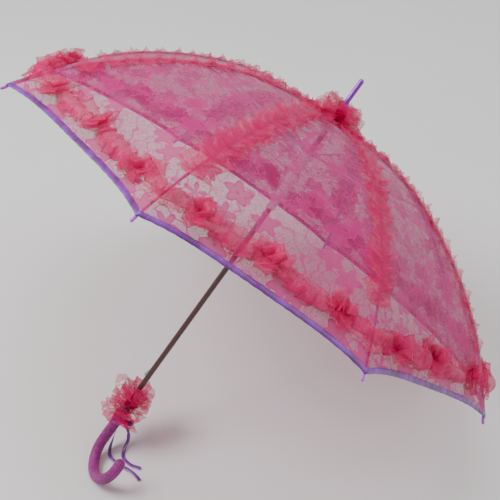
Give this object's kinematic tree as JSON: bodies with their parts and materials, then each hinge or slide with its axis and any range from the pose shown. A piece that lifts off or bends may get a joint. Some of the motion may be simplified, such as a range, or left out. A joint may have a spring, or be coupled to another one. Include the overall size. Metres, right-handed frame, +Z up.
{
  "type": "parasol",
  "caption": "Folding lace parasol, open and lying down, with hinged ribs and stretchers, a sliding runner, gauze ruffles and a lace-covered crook handle.",
  "frame": {"origin": "middle of the base of the part's box, on the floor that the two lowest rib tips and the crook's bend rest on", "axes": "+Z up from the floor; +X level, from the crook towards the ferrule, which stands 43.3 degrees above it; +Y level, across the canopy"},
  "size_m": [0.5804, 0.7508, 0.5555],
  "materials": {
    "shaft_metal": "dark brown gloss enamel",
    "purple_metal": "glossy purple enamel",
    "rib_metal": "purple enamel",
    "stretcher_metal": "pearly lilac enamel",
    "white_plastic": "white moulded plastic with a lilac cast",
    "tip_plastic": "violet moulded plastic",
    "steel": "bright spring steel",
    "lace": "floral net lace, hot pink",
    "organza": "sheer gathered gauze with a rolled edge",
    "satin": "violet satin ribbon",
    "crook_plastic": "dark purple plastic",
    "crook_lace": "purple stretch lace"
  },
  "bodies": {
    "shaft_and_handle": {"shaft": "shaft_metal", "ferrule": "purple_metal", "crown_notch": "white_plastic", "crown_wire": "steel", "canopy_cap": "organza", "crown_rosette": "organza", "crook_core": "crook_plastic", "crook_cover": "crook_lace", "neck_rosette": "organza", "ribbon_band": "satin", "ribbon_tail_a": "satin", "ribbon_tail_b": "satin"},
    "runner": {"runner": "white_plastic", "runner_wire": "steel"},
    "top_catch": {"top_catch": "steel"},
    "bottom_catch": {"bottom_catch": "steel"},
    "rib_1": {"rib_1": "rib_metal", "lace_panel_1": "lace"},
    "rib_end_1": {"rib_end_1": "rib_metal", "rib_tip_1": "tip_plastic"},
    "stretcher_1": {"stretcher_1": "stretcher_metal"},
    "rib_2": {"rib_2": "rib_metal", "lace_panel_2": "lace"},
    "rib_end_2": {"rib_end_2": "rib_metal", "rib_tip_2": "tip_plastic"},
    "stretcher_2": {"stretcher_2": "stretcher_metal"},
    "rib_3": {"rib_3": "rib_metal", "lace_panel_3": "lace"},
    "rib_end_3": {"rib_end_3": "rib_metal", "rib_tip_3": "tip_plastic"},
    "stretcher_3": {"stretcher_3": "stretcher_metal"},
    "rib_4": {"rib_4": "rib_metal", "lace_panel_4": "lace"},
    "rib_end_4": {"rib_end_4": "rib_metal", "rib_tip_4": "tip_plastic"},
    "stretcher_4": {"stretcher_4": "stretcher_metal"},
    "rib_5": {"rib_5": "rib_metal", "lace_panel_5": "lace"},
    "rib_end_5": {"rib_end_5": "rib_metal", "rib_tip_5": "tip_plastic"},
    "stretcher_5": {"stretcher_5": "stretcher_metal"},
    "rib_6": {"rib_6": "rib_metal", "lace_panel_6": "lace"},
    "rib_end_6": {"rib_end_6": "rib_metal", "rib_tip_6": "tip_plastic"},
    "stretcher_6": {"stretcher_6": "stretcher_metal"},
    "rib_7": {"rib_7": "rib_metal", "lace_panel_7": "lace"},
    "rib_end_7": {"rib_end_7": "rib_metal", "rib_tip_7": "tip_plastic"},
    "stretcher_7": {"stretcher_7": "stretcher_metal"},
    "rib_8": {"rib_8": "rib_metal", "lace_panel_8": "lace"},
    "rib_end_8": {"rib_end_8": "rib_metal", "rib_tip_8": "tip_plastic"},
    "stretcher_8": {"stretcher_8": "stretcher_metal"}
  },
  "joints": [
    {"name": "canopy_fold", "type": "hinge", "parent": "shaft_and_handle", "child": "rib_1", "pos_m": [0.16005, 0.00306, 0.39705], "axis": [-0.2625, 0.9239, 0.2785], "range_deg": [0, 79.28], "deforming": ["lace_panel_1", "lace_panel_2", "lace_panel_3", "lace_panel_4", "lace_panel_5", "lace_panel_6", "lace_panel_7", "lace_panel_8", "top_catch", "bottom_catch"]},
    {"name": "rib_2_fold", "type": "hinge", "parent": "shaft_and_handle", "child": "rib_2", "pos_m": [0.15708, 0.00739, 0.40021], "axis": [-0.6336, 0.3827, 0.6724], "range_deg": [0, 79.38]},
    {"name": "rib_3_fold", "type": "hinge", "parent": "shaft_and_handle", "child": "rib_3", "pos_m": [0.15288, 0.00739, 0.40466], "axis": [-0.6336, -0.3827, 0.6724], "range_deg": [0, 79.38]},
    {"name": "rib_4_fold", "type": "hinge", "parent": "shaft_and_handle", "child": "rib_4", "pos_m": [0.14992, 0.00306, 0.40781], "axis": [-0.2625, -0.9239, 0.2785], "range_deg": [0, 79.38]},
    {"name": "rib_5_fold", "type": "hinge", "parent": "shaft_and_handle", "child": "rib_5", "pos_m": [0.14992, -0.00306, 0.40781], "axis": [0.2625, -0.9239, -0.2785], "range_deg": [0, 79.38]},
    {"name": "rib_6_fold", "type": "hinge", "parent": "shaft_and_handle", "child": "rib_6", "pos_m": [0.15288, -0.00739, 0.40466], "axis": [0.6336, -0.3827, -0.6724], "range_deg": [0, 79.38]},
    {"name": "rib_7_fold", "type": "hinge", "parent": "shaft_and_handle", "child": "rib_7", "pos_m": [0.15708, -0.00739, 0.40021], "axis": [0.6336, 0.3827, -0.6724], "range_deg": [0, 79.38]},
    {"name": "rib_8_fold", "type": "hinge", "parent": "shaft_and_handle", "child": "rib_8", "pos_m": [0.16005, -0.00306, 0.39705], "axis": [0.2625, 0.9239, -0.2785], "range_deg": [0, 79.38]},
    {"name": "rib_1_spring_back", "type": "hinge", "parent": "rib_1", "child": "rib_end_1", "pos_m": [0.26414, 0.07577, 0.25394], "axis": [-0.2625, 0.9239, 0.2785], "range_deg": [-29.19, 0]},
    {"name": "rib_2_spring_back", "type": "hinge", "parent": "rib_2", "child": "rib_end_2", "pos_m": [0.19065, 0.18293, 0.33193], "axis": [-0.6336, 0.3827, 0.6724], "range_deg": [-29.19, 0]},
    {"name": "rib_3_spring_back", "type": "hinge", "parent": "rib_3", "child": "rib_end_3", "pos_m": [0.08672, 0.18293, 0.44222], "axis": [-0.6336, -0.3827, 0.6724], "range_deg": [-29.19, 0]},
    {"name": "rib_4_spring_back", "type": "hinge", "parent": "rib_4", "child": "rib_end_4", "pos_m": [0.01323, 0.07577, 0.5202], "axis": [-0.2625, -0.9239, 0.2785], "range_deg": [-29.19, 0]},
    {"name": "rib_5_spring_back", "type": "hinge", "parent": "rib_5", "child": "rib_end_5", "pos_m": [0.01323, -0.07577, 0.5202], "axis": [0.2625, -0.9239, -0.2785], "range_deg": [-29.19, 0]},
    {"name": "rib_6_spring_back", "type": "hinge", "parent": "rib_6", "child": "rib_end_6", "pos_m": [0.08672, -0.18293, 0.44222], "axis": [0.6336, -0.3827, -0.6724], "range_deg": [-29.19, 0]},
    {"name": "rib_7_spring_back", "type": "hinge", "parent": "rib_7", "child": "rib_end_7", "pos_m": [0.19065, -0.18293, 0.33193], "axis": [0.6336, 0.3827, -0.6724], "range_deg": [-29.19, 0]},
    {"name": "rib_8_spring_back", "type": "hinge", "parent": "rib_8", "child": "rib_end_8", "pos_m": [0.26414, -0.07577, 0.25394], "axis": [0.2625, 0.9239, -0.2785], "range_deg": [-29.19, 0]},
    {"name": "stretcher_1_turn", "type": "hinge", "parent": "rib_1", "child": "stretcher_1", "pos_m": [0.26414, 0.07577, 0.25394], "axis": [-0.2625, 0.9239, 0.2785], "range_deg": [-158.75, 0]},
    {"name": "stretcher_2_turn", "type": "hinge", "parent": "rib_2", "child": "stretcher_2", "pos_m": [0.19065, 0.18293, 0.33193], "axis": [-0.6336, 0.3827, 0.6724], "range_deg": [-158.75, 0]},
    {"name": "stretcher_3_turn", "type": "hinge", "parent": "rib_3", "child": "stretcher_3", "pos_m": [0.08672, 0.18293, 0.44222], "axis": [-0.6336, -0.3827, 0.6724], "range_deg": [-158.75, 0]},
    {"name": "stretcher_4_turn", "type": "hinge", "parent": "rib_4", "child": "stretcher_4", "pos_m": [0.01323, 0.07577, 0.5202], "axis": [-0.2625, -0.9239, 0.2785], "range_deg": [-158.75, 0]},
    {"name": "stretcher_5_turn", "type": "hinge", "parent": "rib_5", "child": "stretcher_5", "pos_m": [0.01323, -0.07577, 0.5202], "axis": [0.2625, -0.9239, -0.2785], "range_deg": [-158.75, 0]},
    {"name": "stretcher_6_turn", "type": "hinge", "parent": "rib_6", "child": "stretcher_6", "pos_m": [0.08672, -0.18293, 0.44222], "axis": [0.6336, -0.3827, -0.6724], "range_deg": [-158.75, 0]},
    {"name": "stretcher_7_turn", "type": "hinge", "parent": "rib_7", "child": "stretcher_7", "pos_m": [0.19065, -0.18293, 0.33193], "axis": [0.6336, 0.3827, -0.6724], "range_deg": [-158.75, 0]},
    {"name": "stretcher_8_turn", "type": "hinge", "parent": "rib_8", "child": "stretcher_8", "pos_m": [0.26414, -0.07577, 0.25394], "axis": [0.2625, 0.9239, -0.2785], "range_deg": [-158.75, 0]},
    {"name": "runner_travel", "type": "hinge", "parent": "stretcher_1", "child": "runner", "pos_m": [0.12745, 0.00306, 0.36633], "axis": [-0.2625, 0.9239, 0.2785], "range_deg": [0, 79.38]},
    {"name": "top_catch_press", "type": "slide", "parent": "shaft_and_handle", "child": "top_catch", "axis": [0.4849, -0.7071, -0.5146], "range_m": [0, 0.0024], "stiffness_N_per_m": 300},
    {"name": "bottom_catch_press", "type": "slide", "parent": "shaft_and_handle", "child": "bottom_catch", "axis": [0.4849, -0.7071, -0.5146], "range_m": [0, 0.0024], "stiffness_N_per_m": 300}
  ],
  "couplings": [
    {"joint": "rib_2_fold", "follows": "canopy_fold", "ratio": 1},
    {"joint": "rib_3_fold", "follows": "canopy_fold", "ratio": 1},
    {"joint": "rib_4_fold", "follows": "canopy_fold", "ratio": 1},
    {"joint": "rib_5_fold", "follows": "canopy_fold", "ratio": 1},
    {"joint": "rib_6_fold", "follows": "canopy_fold", "ratio": 1},
    {"joint": "rib_7_fold", "follows": "canopy_fold", "ratio": 1},
    {"joint": "rib_8_fold", "follows": "canopy_fold", "ratio": 1},
    {"joint": "rib_1_spring_back", "follows": "canopy_fold", "ratio": -0.36693},
    {"joint": "rib_2_spring_back", "follows": "canopy_fold", "ratio": -0.36693},
    {"joint": "rib_3_spring_back", "follows": "canopy_fold", "ratio": -0.36693},
    {"joint": "rib_4_spring_back", "follows": "canopy_fold", "ratio": -0.36693},
    {"joint": "rib_5_spring_back", "follows": "canopy_fold", "ratio": -0.36693},
    {"joint": "rib_6_spring_back", "follows": "canopy_fold", "ratio": -0.36693},
    {"joint": "rib_7_spring_back", "follows": "canopy_fold", "ratio": -0.36693},
    {"joint": "rib_8_spring_back", "follows": "canopy_fold", "ratio": -0.36693},
    {"joint": "stretcher_1_turn", "follows": "canopy_fold", "ratio": -2},
    {"joint": "stretcher_2_turn", "follows": "canopy_fold", "ratio": -2},
    {"joint": "stretcher_3_turn", "follows": "canopy_fold", "ratio": -2},
    {"joint": "stretcher_4_turn", "follows": "canopy_fold", "ratio": -2},
    {"joint": "stretcher_5_turn", "follows": "canopy_fold", "ratio": -2},
    {"joint": "stretcher_6_turn", "follows": "canopy_fold", "ratio": -2},
    {"joint": "stretcher_7_turn", "follows": "canopy_fold", "ratio": -2},
    {"joint": "stretcher_8_turn", "follows": "canopy_fold", "ratio": -2},
    {"joint": "runner_travel", "follows": "canopy_fold", "ratio": 1}
  ]
}
